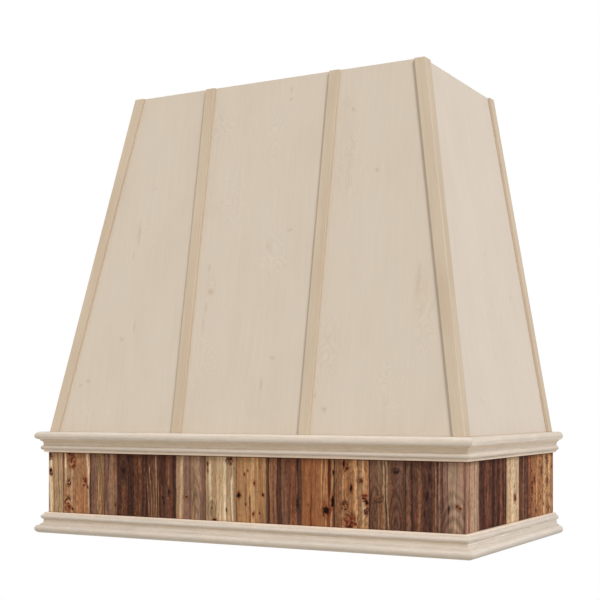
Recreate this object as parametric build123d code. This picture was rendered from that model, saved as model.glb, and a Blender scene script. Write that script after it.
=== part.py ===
from build123d import *
import os
from math import sqrt

# Wooden range hood cover that hangs on a bevelled cleat, in millimetres.
# The wall is the plane y = 0, -Y faces the room and +Z is up. The origin lies on the wall,
# halfway up the wall cleat's front face and halfway along it.

# Strip band, and the tapered body above it
band_width = 1066.8  # across the strips of both sides
band_depth = 575.0  # from the wall to the face of the front strips
band_height = 144.3  # strip length that shows between the mouldings
body_height = 813.0  # from the upper moulding's top to the top of the hood
body_top_width = 754.6  # across the side panels at the top
body_top_depth = 422.0  # from the wall to the front panel's face at the top

# Panels, straps and boards
panel_thickness = 12.0
strap_thickness = 7.0
strap_width = 25.4
inner_strap_offset = 165.0  # from the hood's middle to the middle of an inner strap
board_thickness = 18.0

# Mixed wood strips
plank_thickness = 8.0
plank_gap = 0.3
front_plank_count = 14
first_front_plank = 46.0  # the narrow strip at the left corner
last_front_plank = 48.8  # the narrow strip at the right corner
first_side_plank = 78.0  # the strip next to a front corner
side_plank_count = 7

# Moulding profile: reach is measured out from the strips' face, height from the strips' end
moulding_height = 49.0
foot_reach = 5.0
bead_radius = 8.0
bead_reach = 13.8
bead_centre_height = 9.7
cove_radius = 7.5
cove_reach = 8.7
fillet_reach = 15.0
torus_reach = 24.4
torus_lower_radius = 7.0
torus_upper_radius = 10.5

# Inner frame
post_width = 40.0
top_rail_height = 60.0
hanging_rail_height = 110.0
sill_width = 45.0
lower_rail_height = 100.0
lower_rail_hole_radius = 3.0
lower_rail_hole_spacing = 812.8  # two studs on 16 inch centres, each side of the middle

# Deck that carries the ventilation insert
deck_recess = 6.0  # from the lower moulding's underside up to the deck
deck_ledge = 50.0  # ledge left round the cut-out
insert_hole_radius = 2.0
insert_hole_spacing = 300.0  # along a side ledge

# Bevelled cleats
cleat_length = 660.0
wall_cleat_height = 90.0  # at its front face
hood_cleat_height = 70.0  # at its front face
cleat_drop = 20.0  # from the top of the hood down to the hood cleat
cleat_play = 0.3
wall_hole_radius = 4.0
wall_hole_spacing = 406.4  # stud centres
wall_hole_rise = 30.0  # between the two rows
wall_hole_drop = 10.0  # from the middle of the front face down to the middle of the rows

# Screws that hold the hood cleat to the hanging rail
screw_count = 4
screw_spacing = 190.0
screw_length = 32.0
screw_shank_radius = 2.0
screw_head_radius = 4.0
screw_head_height = 3.0
screw_recess_width = 2.6
screw_recess_depth = 1.8
screw_play = 0.1

# Levels
hood_top = wall_cleat_height / 2 + cleat_play + hood_cleat_height + cleat_drop
body_base = hood_top - body_height
band_top = body_base - moulding_height
band_bottom = band_top - band_height
hood_bottom = band_bottom - moulding_height
deck_bottom = hood_bottom + deck_recess
deck_top = deck_bottom + board_thickness

# Slopes of the body: its faces run down to the strip band's top edge
side_slope = (band_width - body_top_width) / 2 / (hood_top - band_top)
front_slope = (band_depth - body_top_depth) / (hood_top - band_top)


def level(thickness, slope):
    """A board's thickness measured level, where the board leans."""
    return thickness * sqrt(1 + slope**2)


side_panel_level = level(panel_thickness, side_slope)
front_panel_level = level(panel_thickness, front_slope)
side_strap_level = level(strap_thickness, side_slope)
front_strap_level = level(strap_thickness, front_slope)

# Inner faces of the boards behind the strips, which are also the sizes inside the hood's foot
apron_face = band_width / 2 - plank_thickness
apron_depth = band_depth - plank_thickness
inside_half = apron_face - board_thickness
inside_depth = apron_depth - board_thickness


def half_width(z):
    """From the hood's middle to a side panel's face."""
    return band_width / 2 - side_slope * (z - band_top)


def depth(z):
    """From the wall to the front panel's face."""
    return band_depth - front_slope * (z - band_top)


def leaning(low, high, span):
    """A straight-sided solid between two levels. span(z) gives its x0, x1, y0 and y1 there."""
    rings = []
    for z in (low, high):
        x0, x1, y0, y1 = span(z)
        rings.append([(x0, y0, z), (x1, y0, z), (x1, y1, z), (x0, y1, z)])
    below, above = rings
    outlines = [below, above]
    for i in range(4):
        j = (i + 1) % 4
        outlines.append([below[i], below[j], above[j], above[i]])
    return Solid(Shell([Face(Wire.make_polygon(points)) for points in outlines]))


def upright(points, low, high):
    """A board with this outline in plan, between two levels."""
    outline = Face(Wire.make_polygon([(x, y, low) for x, y in points]))
    return extrude(outline, high - low, dir=(0, 0, 1))


def block(x0, x1, y0, y1, z0, z1):
    """A square-cut board between these faces."""
    return upright([(x0, y0), (x1, y0), (x1, y1), (x0, y1)], z0, z1)


def other_side(shape):
    """The same piece on the other side of the hood."""
    return mirror(shape, about=Plane.YZ)


# Tapered body


def front_panel():
    def span(z):
        return -half_width(z), half_width(z), -depth(z), front_panel_level - depth(z)

    return leaning(body_base, hood_top, span)


def right_side_panel():
    def span(z):
        return half_width(z) - side_panel_level, half_width(z), front_panel_level - depth(z), 0

    return leaning(body_base, hood_top, span)


def front_strap(x_span):
    """A strap on the front panel. x_span(z) gives its two edges."""

    def span(z):
        return *x_span(z), -depth(z) - front_strap_level, -depth(z)

    return leaning(body_base, hood_top, span)


def inner_strap():
    centre = inner_strap_offset
    return front_strap(lambda z: (centre - strap_width / 2, centre + strap_width / 2))


def corner_strap():
    """It laps over the side strap, so its edge shows on the side."""

    def x_span(z):
        edge = half_width(z) + side_strap_level
        return edge - strap_width, edge

    return front_strap(x_span)


def side_strap(y_span):
    """A strap on the right side panel. y_span(z) gives its two edges."""

    def span(z):
        return half_width(z), half_width(z) + side_strap_level, *y_span(z)

    return leaning(body_base, hood_top, span)


def side_front_strap():
    return side_strap(lambda z: (-depth(z), strap_width - depth(z)))


def side_back_strap():
    return side_strap(lambda z: (-strap_width, 0))


# Mouldings


def moulding_profile():
    """Foot, bead, cove, fillet and torus. X is the reach and Y the height."""
    bead_x = bead_reach - bead_radius
    cove_x = cove_reach + cove_radius
    rise = sqrt((bead_radius + cove_radius) ** 2 - (cove_x - bead_x) ** 2)
    bead = Vector(bead_x, bead_centre_height)
    cove = Vector(cove_x, bead_centre_height + rise)
    waist = bead + (cove - bead) * (bead_radius / (bead_radius + cove_radius))
    cove_end = Vector(fillet_reach, cove.Y + sqrt(cove_radius**2 - (cove_x - fillet_reach) ** 2))
    torus_level = moulding_height - torus_upper_radius
    torus_floor = torus_level - torus_lower_radius
    lower_x = torus_reach - torus_lower_radius
    upper_x = torus_reach - torus_upper_radius
    bead_low = Vector(bead_x, bead_centre_height - bead_radius)
    torus_out = Vector(torus_reach, torus_level)
    straight = [
        Polyline((upper_x, moulding_height), (-plank_thickness, moulding_height), (-plank_thickness, 0),
                 (foot_reach, 0), (foot_reach, bead_low.Y), bead_low),
        Polyline(cove_end, (fillet_reach, torus_floor), (lower_x, torus_floor)),
    ]
    round_parts = [
        ThreePointArc(bead_low, bead + Vector(bead_radius, 0), waist),
        ThreePointArc(waist, Vector(cove_reach, cove.Y), cove_end),
        RadiusArc((lower_x, torus_floor), torus_out, -torus_lower_radius),
        RadiusArc(torus_out, (upper_x, moulding_height), -torus_upper_radius),
    ]
    return make_face(Curve() + straight + round_parts)


def upper_moulding_front():
    """Its mitres run from the boards' corners out through the strips' corners."""
    side = band_width / 2
    out = torus_reach
    section = Plane(origin=(side + out, -band_depth, band_top), x_dir=(0, -1, 0), z_dir=(-1, 0, 0))
    bar = extrude(section * moulding_profile(), 2 * (side + out))
    plan = [
        (-side - out, -band_depth - out),
        (side + out, -band_depth - out),
        (apron_face, -apron_depth),
        (-apron_face, -apron_depth),
    ]
    return bar & upright(plan, band_top, body_base)


def upper_moulding_right():
    side = band_width / 2
    out = torus_reach
    section = Plane(origin=(side, 0, band_top), x_dir=(1, 0, 0), z_dir=(0, -1, 0))
    bar = extrude(section * moulding_profile(), band_depth + out)
    plan = [
        (side + out, -band_depth - out),
        (side + out, 0),
        (apron_face, 0),
        (apron_face, -apron_depth),
    ]
    return bar & upright(plan, band_top, body_base)


def turned_over(moulding):
    """The lower moulding is the upper one turned over, below the strips."""
    return mirror(moulding, about=Plane.XY.offset((band_top + band_bottom) / 2))


# Strip band


def front_plank(index):
    """A front strip. The first and the last are mitred where they meet a side strip."""
    width = (band_width - first_front_plank - last_front_plank) / (front_plank_count - 2)
    left = first_front_plank - band_width / 2 + (index - 1) * width
    right = left + width - plank_gap
    inner_left, inner_right = left, right
    if index == 0:
        left = -band_width / 2
        inner_left = -apron_face
    if index == front_plank_count - 1:
        right = band_width / 2
        inner_right = apron_face
    plan = [
        (left, -band_depth),
        (right, -band_depth),
        (inner_right, -apron_depth),
        (inner_left, -apron_depth),
    ]
    return upright(plan, band_bottom, band_top)


def right_plank(index):
    """A strip of the right side, counted from the front corner, where the first is mitred."""
    width = (band_depth - first_side_plank) / (side_plank_count - 1)
    front = first_side_plank - band_depth + (index - 1) * width
    back = front + width - plank_gap
    inner_front = front
    if index == 0:
        front = -band_depth
        inner_front = -apron_depth
    if index == side_plank_count - 1:
        back = 0
    side = band_width / 2
    plan = [(side, front), (side, back), (apron_face, back), (apron_face, inner_front)]
    return upright(plan, band_bottom, band_top)


def apron_front():
    return block(-apron_face, apron_face, -apron_depth, -inside_depth, hood_bottom, body_base)


def apron_right():
    return block(inside_half, apron_face, -inside_depth, 0, hood_bottom, body_base)


# Inner frame


def right_corner_post():
    """A leaning post glued into the corner of the front and side panels."""

    def span(z):
        side = half_width(z) - side_panel_level
        front = front_panel_level - depth(z)
        return side - post_width, side, front, front + post_width

    return leaning(body_base, hood_top, span)


def top_rail_front():
    """It joins the two posts along the front panel's top edge."""

    def span(z):
        side = half_width(z) - side_panel_level - post_width
        front = front_panel_level - depth(z)
        return -side, side, front, front + board_thickness

    return leaning(hood_top - top_rail_height, hood_top, span)


def sill_front():
    front = -inside_depth
    low = body_base - board_thickness
    return block(-inside_half, inside_half, front, front + sill_width, low, body_base)


def sill_right():
    low = body_base - board_thickness
    return block(inside_half - sill_width, inside_half, sill_width - inside_depth, 0, low, body_base)


def insert_deck():
    """A level board inside the foot, cut out for the ventilation insert."""
    board = block(-inside_half, inside_half, -inside_depth, 0, deck_bottom, deck_top)
    half_cut = inside_half - deck_ledge
    front_cut = deck_ledge - inside_depth
    back_cut = -board_thickness - deck_ledge
    board -= block(-half_cut, half_cut, front_cut, back_cut, deck_bottom, deck_top)
    middle = (front_cut + back_cut) / 2
    hole = Cylinder(insert_hole_radius, board_thickness)
    for x in (-1, 1):
        for y in (-1, 1):
            place = Pos(x * (half_cut + deck_ledge / 2), middle + y * insert_hole_spacing / 2,
                        (deck_bottom + deck_top) / 2)
            board -= place * hole
    return board


def wall_hole(x, z, radius, thickness):
    """A hole through a board that lies against the wall."""
    return Pos(x, -thickness / 2, z) * Rot(90, 0, 0) * Cylinder(radius, thickness)


def lower_back_rail():
    """It stands on the deck against the wall, and is screwed to the studs."""
    rail = block(-inside_half, inside_half, -board_thickness, 0, deck_top, deck_top + lower_rail_height)
    for side in (-1, 1):
        x = side * lower_rail_hole_spacing / 2
        rail -= wall_hole(x, deck_top + lower_rail_height / 2, lower_rail_hole_radius, board_thickness)
    return rail


# Bevelled cleats


def cleat(height, thickness, bevel_at, low_side):
    """A cleat along X against the wall. Its bevel falls at 45 degrees towards the wall."""
    front = -thickness
    bevel = [(0, bevel_at - thickness), (front, bevel_at)]
    square_end = bevel_at - height if low_side else bevel_at + height
    section = bevel + [(front, square_end), (0, square_end)]
    outline = Face(Wire.make_polygon([(-cleat_length / 2, y, z) for y, z in section]))
    return extrude(outline, cleat_length, dir=(1, 0, 0))


def wall_cleat():
    """Screwed to the studs. The hood hooks over its bevel."""
    thickness = board_thickness - cleat_play
    board = cleat(wall_cleat_height, thickness, wall_cleat_height / 2, True)
    for side in (-1, 1):
        for row in (-1, 1):
            z = row * wall_hole_rise / 2 - wall_hole_drop
            board -= wall_hole(side * wall_hole_spacing / 2, z, wall_hole_radius, thickness)
    return board


def screw_places():
    """Where the hood cleat's screws lie, at the front face of the hanging rail."""
    z = hood_top - cleat_drop - hood_cleat_height / 2
    first = -screw_spacing * (screw_count - 1) / 2
    return [Pos(first + i * screw_spacing, -2 * board_thickness, z) for i in range(screw_count)]


def screw(play=0.0):
    """A countersunk screw that points at the wall from the origin, or with play, its hole."""
    from_head = (Align.CENTER, Align.CENTER, Align.MIN)
    shank_radius = screw_shank_radius + play
    shank = Cylinder(shank_radius, screw_length + play, align=from_head)
    head = Cone(screw_head_radius + play, shank_radius, screw_head_height, align=from_head)
    return Rot(-90, 0, 0) * (shank + head)


def screw_recess():
    """The square socket in a screw's head."""
    socket = Box(screw_recess_width, screw_recess_depth, screw_recess_width)
    return Pos(0, screw_recess_depth / 2, 0) * socket


def hanging_rail():
    """A rail between the side panels, in front of the cleats."""

    def span(z):
        side = half_width(z) - side_panel_level
        return -side, side, -2 * board_thickness, -board_thickness

    rail = leaning(hood_top - hanging_rail_height, hood_top, span)
    for place in screw_places():
        rail -= place * screw(screw_play)
    return rail


def hood_cleat():
    bevel_at = wall_cleat_height / 2 + cleat_play
    board = cleat(hood_cleat_height, board_thickness, bevel_at, False)
    for place in screw_places():
        board -= place * screw(screw_play)
    return board


def hood_cleat_screws():
    """The screws of one node, each a solid of its own."""
    return Compound([place * (screw() - screw_recess()) for place in screw_places()])


def pieces():
    """Every piece by its name."""
    made = {
        "front_panel": front_panel(),
        "front_strap_right": inner_strap(),
        "front_strap_right_corner": corner_strap(),
        "upper_moulding_front": upper_moulding_front(),
        "lower_moulding_front": turned_over(upper_moulding_front()),
        "apron_front": apron_front(),
        "top_rail_front": top_rail_front(),
        "sill_front": sill_front(),
        "insert_deck": insert_deck(),
        "lower_back_rail": lower_back_rail(),
        "hanging_rail": hanging_rail(),
        "hood_cleat": hood_cleat(),
        "hood_cleat_screws": hood_cleat_screws(),
        "wall_cleat": wall_cleat(),
        "right_side_panel": right_side_panel(),
        "right_strap_front": side_front_strap(),
        "right_strap_back": side_back_strap(),
        "upper_moulding_right": upper_moulding_right(),
        "lower_moulding_right": turned_over(upper_moulding_right()),
        "apron_right": apron_right(),
        "right_corner_post": right_corner_post(),
        "sill_right": sill_right(),
    }
    for index in range(side_plank_count):
        made[f"right_plank_{index + 1}"] = right_plank(index)
    for name in [name for name in made if "right" in name]:
        made[name.replace("right", "left")] = other_side(made[name])
    for index in range(front_plank_count):
        made[f"front_plank_{index + 1:02d}"] = front_plank(index)
    return made


os.makedirs("parts", exist_ok=True)
for name, shape in pieces().items():
    export_step(shape, f"parts/{name}.step")
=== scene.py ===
import bpy
import math
from mathutils import Matrix, Vector


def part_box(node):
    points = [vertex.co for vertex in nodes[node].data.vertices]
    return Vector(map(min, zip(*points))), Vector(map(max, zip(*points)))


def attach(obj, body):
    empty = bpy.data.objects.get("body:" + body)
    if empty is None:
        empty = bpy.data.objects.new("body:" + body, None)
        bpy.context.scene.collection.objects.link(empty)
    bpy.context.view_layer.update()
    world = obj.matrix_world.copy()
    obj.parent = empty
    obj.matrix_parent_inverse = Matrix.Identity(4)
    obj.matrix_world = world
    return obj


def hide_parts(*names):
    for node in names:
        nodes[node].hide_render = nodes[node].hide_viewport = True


# Looks for the wooden range hood cover. Metres; wood coordinates are in millimetres.
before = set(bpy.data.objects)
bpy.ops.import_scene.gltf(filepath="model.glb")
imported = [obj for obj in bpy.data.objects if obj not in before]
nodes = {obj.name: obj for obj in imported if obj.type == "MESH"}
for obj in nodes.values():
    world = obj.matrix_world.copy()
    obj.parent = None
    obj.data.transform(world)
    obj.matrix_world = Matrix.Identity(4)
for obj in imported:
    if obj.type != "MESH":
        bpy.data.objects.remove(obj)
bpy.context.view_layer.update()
mm = 0.001

# how far the body's faces lean in, over its rise from the strips to the top
bodyLean = {"sideRun": 0.1561, "frontRun": 0.153, "rise": 0.862}
sideSlope = bodyLean["sideRun"] / bodyLean["rise"]
frontSlope = bodyLean["frontRun"] / bodyLean["rise"]
toRight, toBack, toFront, toTop = (1, 0, 0), (0, 1, 0), (0, -1, 0), (0, 0, 1)
rightCorner, leftCorner = (-sideSlope, frontSlope, 1), (sideSlope, frontSlope, 1)

# each group of boards counts the seeds of its grain from its own start
firstSeed = {"panel": 1, "strap": 11, "moulding": 22, "strip": 41, "frame": 81}


def tone(red, green, blue):
    # a colour as it shows on screen, turned into the linear one that nodes use
    shares = [value / 255 for value in (red, green, blue)]
    return tuple(((share + 0.055) / 1.055) ** 2.4 for share in shares) + (1,)


# Small helpers for node trees. They add to the tree that startTree was last given.

def startTree(owner):
    global tree
    owner.use_nodes = True
    tree = owner.node_tree
    return tree.nodes


def newMaterial(name):
    material = bpy.data.materials.new(name)
    return material, startTree(material)["Principled BSDF"]


def newNode(kind, **settings):
    made = tree.nodes.new("ShaderNode" + kind)
    for key, value in settings.items():
        setattr(made, key, value)
    return made


def feed(socket, value):
    if isinstance(value, bpy.types.NodeSocket):
        tree.links.new(value, socket)
    else:
        socket.default_value = value


def fedNode(kind, values, output=0, **settings):
    # an output of a new node that has these values on its first inputs
    made = newNode(kind, **settings)
    for socket, value in zip(made.inputs, values):
        feed(socket, value)
    return made.outputs[output]


def calc(operation, *values):
    return fedNode("Math", values, operation=operation)


def vecCalc(operation, *values):
    output = "Value" if operation == "LENGTH" else "Vector"
    return fedNode("VectorMath", values, output, operation=operation)


def times(first, second):
    return calc("MULTIPLY", first, second)


def ease(value, low, high, toLow=0, toHigh=1):
    # a soft step from toLow to toHigh while value goes from low to high
    return fedNode("MapRange", (value, low, high, toLow, toHigh), interpolation_type="SMOOTHSTEP")


def spread(value, low, high):
    # a noise's usual 0.3 to 0.7, stretched in a straight line from low to high
    return fedNode("MapRange", (value, 0.3, 0.7, low, high), clamp=False)


def noise(place, size, detail=2.0, roughness=0.5, colour=False, distortion=0.0):
    # size is how large its patches are, across the board and along it
    across, along = size
    made = newNode("TexNoise")
    settings = {"Vector": vecCalc("MULTIPLY", place, (1 / across, 1 / across, 1 / along)),
                "Scale": 1, "Detail": detail, "Roughness": roughness, "Distortion": distortion}
    for key, value in settings.items():
        feed(made.inputs[key], value)
    return made.outputs[int(colour)]


def ramp(value, stops):
    # a colour for each value; the first and last stop come with the node
    made = newNode("ValToRGB")
    feed(made.inputs[0], value)
    points = made.color_ramp.elements
    first, *between, last = stops
    points[0].position, points[0].color = first
    points[1].position, points[1].color = last
    for position, colour in between:
        points.new(position).color = colour
    return made.outputs[0]


def mixIn(amount, first, second, blend="MIX"):
    made = newNode("Mix", data_type="RGBA", blend_type=blend)
    for index, value in ((0, amount), (6, first), (7, second)):
        feed(made.inputs[index], value)
    return made.outputs[2]


def brighten(colour, factor):
    made = newNode("VectorMath", operation="SCALE")
    feed(made.inputs[0], colour)
    feed(made.inputs["Scale"], factor)
    return made.outputs["Vector"]


def vary(colour, cloud, depth):
    # lighter and darker by this share, as the noise goes
    return brighten(colour, spread(cloud, 1 + depth, 1 - depth))


def pushed(place, cloud, reach):
    # a place moved about by a colour noise, so far across, in and along
    return vecCalc("MULTIPLY_ADD", vecCalc("SUBTRACT", cloud, (0.5, 0.5, 0.5)), reach, place)


def sideways(amount):
    return fedNode("CombineXYZ", [amount])


def part(vector, index):
    # one of a vector's three numbers
    return fedNode("SeparateXYZ", [vector], index)


def setBump(shader, height, distance, **settings):
    bump = newNode("Bump", **settings)
    bump.inputs["Distance"].default_value = distance * mm
    feed(bump.inputs["Height"], height)
    feed(shader.inputs["Normal"], bump.outputs[0])


# Then comes the wood, its tones as they show on screen.

# strapEdge and the mould tones also paint light and shade on the straps and mouldings
woodTones = dict(
    mapleLight=(213, 200, 184), maple=(212, 199, 182), mapleDark=(210, 197, 180),
    strapLight=(209, 191, 168), strap=(206, 188, 165), strapDark=(202, 183, 159),
    strapEdge=(184, 163, 136), mark=(186, 167, 148), mould=(224, 211, 195),
    mouldDim=(212, 198, 180), mouldWarm=(236, 218, 194), mouldSand=(223, 204, 179),
    mouldPale=(244, 231, 214), mouldFair=(231, 219, 203), mouldSoft=(219, 205, 187),
    mouldFoot=(250, 229, 205), mouldBright=(255, 243, 226), plyLight=(214, 193, 160),
    ply=(205, 180, 144), plyDark=(192, 164, 126), poplarLight=(217, 203, 173),
    poplar=(206, 191, 158), poplarDark=(190, 175, 140), cream=(206, 174, 138),
    straw=(188, 155, 118), tan=(164, 129, 95), dun=(150, 114, 82), olive=(134, 102, 74),
    honey=(172, 128, 88), amber=(156, 110, 73), orange=(144, 96, 62), rust=(126, 80, 56),
    toffee=(116, 79, 58), redBrown=(104, 68, 51), walnut=(94, 63, 48), darkWalnut=(76, 51, 41),
    black=(60, 41, 34), mauve=(124, 90, 74), plum=(104, 74, 62), taupe=(152, 121, 97),
    rose=(178, 144, 118), chestnut=(138, 96, 66), umber=(113, 82, 60), gold=(188, 148, 104),
    wine=(74, 33, 23), pink=(156, 117, 96), paleCream=(214, 188, 152),
)
woodTones = {name: tone(*shades) for name, shades in woodTones.items()}

# core, the ring about it, how deep the core lies and how strongly it shows
knotKinds = {
    "black": (tone(26, 17, 15), tone(116, 58, 34), 1, 0.97),
    "soot": (tone(42, 28, 24), tone(66, 42, 34), 0.6, 0.9),
    "brown": (tone(78, 44, 28), tone(124, 80, 52), 0.6, 0.95),
    "red": (tone(88, 38, 25), tone(142, 78, 48), 0.6, 0.95),
}

# what every wood shares: each noise's size across the board and along it, how far those with three
# numbers push a place across, in and along, and the tones that colours are multiplied by
grain = {
    "seedSteps": (41, 67, 97), "fray": (2.5, 5), "frayReach": (3, 0, 5),
    "slowSway": (55, 130), "quickSway": (9, 45), "mottle": (60, 260),
    "streaks": (6, 200), "fibres": (0.625, 22), "bands": (4.2, 110), "hues": (6, 90),
    "flecks": (3.8, 9), "clouds": (11, 34), "ringWobble": (12, 90), "ringPatches": (15, 150),
    "pores": (0.75, 13), "dashes": (3, 14), "contours": (60, 95), "marks": (5, 8),
    "markReach": (14, 0, 22), "curls": (7, 9), "curlReach": (30, 0, 50), "eyes": (15, 17),
    "figures": (24, 36), "knots": (4, 7),
    "lineFade": 6, "lineStrength": 0.85, "ringTone": tone(170, 140, 118), "plyTone": tone(186, 148, 108),
}


def squared(along, across):
    # a board's two directions, each 1 long and square to the other
    along, across = Vector(along).normalized(), Vector(across)
    return along, (across - along * across.dot(along)).normalized()


def boardSpace(place):
    # x across the board, y into it and z along its grain, in millimetres from its corner
    origin, along, across = place
    along, across = squared(along, across)
    turn = Matrix((across, along.cross(across), along))
    mapping = newNode("Mapping")
    mapping.inputs["Scale"].default_value = (1 / mm, 1 / mm, 1 / mm)
    mapping.inputs["Rotation"].default_value = turn.to_euler()
    mapping.inputs["Location"].default_value = turn @ Vector(origin) / -mm
    feed(mapping.inputs["Vector"], newNode("TexCoord").outputs["Object"])
    return mapping.outputs[0]


def awayFrom(point, knot):
    # how far a point lies from a knot's middle, where 1 is the knot's edge
    across, along, wide, high = knot[:4]
    offset = vecCalc("SUBTRACT", point, (across, 0, along))
    scaled = vecCalc("MULTIPLY", offset, (2 / wide, 0, 2 / high))
    return vecCalc("LENGTH", scaled), offset


def spotMask(place, spots, inner=0.55, outer=1.1):
    # soft oval spots: across, up, width, height and, if not whole, how strongly each shows
    mask = 0.0
    for across, along, wide, high, *strength in spots:
        scaled = vecCalc("MULTIPLY_ADD", place, (2 / wide, 0, 2 / high),
                         (-2 * across / wide, 0, -2 * along / high))
        inside = ease(vecCalc("LENGTH", scaled), inner, outer, *(strength or [1.0]), 0)
        mask = calc("MAXIMUM", mask, inside)
    return mask


def bendBoard(board, loose, ragged, look):
    # the board's places as its grain bends them, and where burls are wild
    sway = look["sway"]
    slow = spread(noise(loose, grain["slowSway"]), -sway, sway)
    quick = spread(noise(loose, grain["quickSway"]), -sway / 3, sway / 3)
    bent = vecCalc("ADD", board, sideways(calc("ADD", slow, quick)))
    for knot in look.get("knots", []):
        # the grain flows round each knot
        distance, offset = awayFrom(board, knot)
        pull = ease(distance, 0.3, 2.6, 0.65, 0)
        bent = vecCalc("SUBTRACT", bent, vecCalc("MULTIPLY", offset, sideways(pull)))
    if not look.get("burls"):
        return bent, 0.0
    wild = spotMask(ragged, look["burls"])
    curls = noise(loose, grain["curls"], colour=True, distortion=1.2)
    curls = pushed((0, 0, 0), curls, grain["curlReach"])
    return vecCalc("ADD", bent, brighten(curls, wild)), wild


def stripedBase(bent, look):
    # tones across the board; between two of them stands the share of its width where they meet
    blur, even = look["blur"], look["even"]
    words = look["stripes"].split()
    tones = [woodTones[word] for word in words[::2]]
    meets = [float(word) for word in words[1::2]]
    widths = [end - start for start, end in zip([0.0] + meets, meets + [1.0])]
    mean = [sum(width * own[index] for width, own in zip(widths, tones)) for index in range(4)]
    tones = [tuple((1 - even) * a + even * b for a, b in zip(own, mean)) for own in tones]
    stops = [(0, tones[0])]
    for index, meet in enumerate(meets):
        stops += [(max(meet - blur, 0.001), tones[index]), (min(meet + blur, 0.999), tones[index + 1])]
    share = calc("DIVIDE", part(bent, 0), look["width"])
    return ramp(share, stops + [(1, tones[-1])])


def mottledBase(loose, look):
    # three tones, cloudy along the grain
    cloud = noise(loose, look.get("mottle", grain["mottle"]), 3, 0.55)
    return ramp(cloud, zip((0.35, 0.5, 0.65), [woodTones[name] for name in look["tones"]]))


def ringLines(bent, loose, look):
    # growth rings round the tree's heart, darker towards the end of each year
    radii = vecCalc("SUBTRACT", bent, look["heart"])
    radii = vecCalc("MULTIPLY", radii, (1, 1, look["ringSlope"]))
    radius = vecCalc("LENGTH", radii)
    uneven = spread(noise(loose, grain["ringWobble"]), -0.5, 0.5)
    year = calc("FRACT", calc("ADD", calc("DIVIDE", radius, look["ringGap"]), uneven))
    late = calc("POWER", year, 3)
    patchy = ease(noise(loose, grain["ringPatches"], 1), 0.3, 0.65, 0.25, 1)
    return times(late, patchy)


def lineMask(place, line):
    # one of a strip's lines, which fades out at both ends
    lowX, lowZ, highX, highZ, width = line[:5]
    across, along = part(place, 0), part(place, 2)
    lean = (highX - lowX) / (highZ - lowZ)
    middle = calc("MULTIPLY_ADD", calc("SUBTRACT", along, lowZ), lean, lowX)
    off = calc("ABSOLUTE", calc("SUBTRACT", across, middle))
    thin = ease(off, width * 0.3, width * 0.65, 1, 0)
    fade = grain["lineFade"]
    low = ease(along, lowZ - fade, lowZ + fade)
    high = ease(along, highZ - fade, highZ + fade, 1, 0)
    return times(thin, times(low, high))


def curlLines(loose, wild):
    # the tight curls and eyes of a burl, in a twisted noise
    twisted = noise(loose, grain["eyes"], 2, 0.6, distortion=0.8)
    off = calc("ABSOLUTE", calc("SUBTRACT", twisted, 0.5))
    lines = calc("SUBTRACT", 1, ease(off, 0.03, 0.08))
    eyes = ease(twisted, 0.59, 0.64)
    return times(calc("MAXIMUM", lines, eyes), wild)


def figureRings(board, loose, look):
    # uneven rings one inside another
    warped = pushed(board, noise(loose, grain["figures"], colour=True), look["figureWarp"])
    rings = 0.0
    for figure in look["figures"]:
        distance, _ = awayFrom(warped, figure)
        turns = times(distance, math.pi * figure[2] / figure[4])
        wave = calc("MULTIPLY_ADD", calc("SINE", turns), 0.5, 0.5)
        rings = calc("MAXIMUM", rings, times(wave, ease(distance, 0.7, 1.1, 1, 0)))
    return rings


def plyLayers(board, look):
    # the layers that show where plywood is cut
    depth = calc("DIVIDE", part(board, 1), look["plies"]["thickness"])
    count = look["plies"]["count"]
    layer = calc("PINGPONG", times(depth, count), 1)
    dark = ease(layer, 0.45, 0.55)
    inside = ease(calc("PINGPONG", depth, 0.5), 0.8 / count, 0.9 / count)
    return times(dark, inside)


def enliven(colour, loose, look):
    # narrow bands, some redder and some greyer, with flecks and clouds
    def size(key):
        across, along = grain[key]
        return across * look.get("coarse", 1), along

    drift = look["drift"]
    hues = noise(loose, size("hues"))
    colour = vary(colour, noise(loose, size("bands"), 3, 0.6), look["lively"])
    colour = vary(colour, noise(loose, size("flecks"), 3, 0.6), look["fleck"])
    colour = vary(colour, noise(loose, grain["clouds"], 3, 0.6), look["cloudy"])
    warm = (1 + drift, 1 - drift / 4, 1 - drift, 1)
    cool = (1 - drift, 1 + drift / 6, 1 + drift * 0.7, 1)
    return vecCalc("MULTIPLY", colour, mixIn(ease(hues, 0.35, 0.65), warm, cool))


def darkenEdgesAndEnds(colour, board, look):
    # the board's two long edges and its two ends, made darker
    # along the long edges: dark seams on the strips, on the straps dark lines partly painted contact shade
    if "edgeShade" in look:
        middle = look["width"] / 2
        fromMiddle = calc("ABSOLUTE", calc("SUBTRACT", part(board, 0), middle))
        darkening = ease(fromMiddle, middle - look["edgeReach"], middle, 0, look["edgeShade"])
        colour = mixIn(darkening, colour, woodTones[look["edgeTone"]])
    # at the ends: a painted shadow under the upper moulding at a strip's top; darker towards the foot
    if "endShade" in look:
        foot, top = look["endShade"]
        up, height = part(board, 2), look["height"]
        darkening = calc("MAXIMUM", ease(up, 0, 2.5, foot, 0),
                     ease(up, height - 4, height - 0.5, 0, top))
        colour = mixIn(darkening, colour, woodTones["black"])
    return colour


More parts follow.
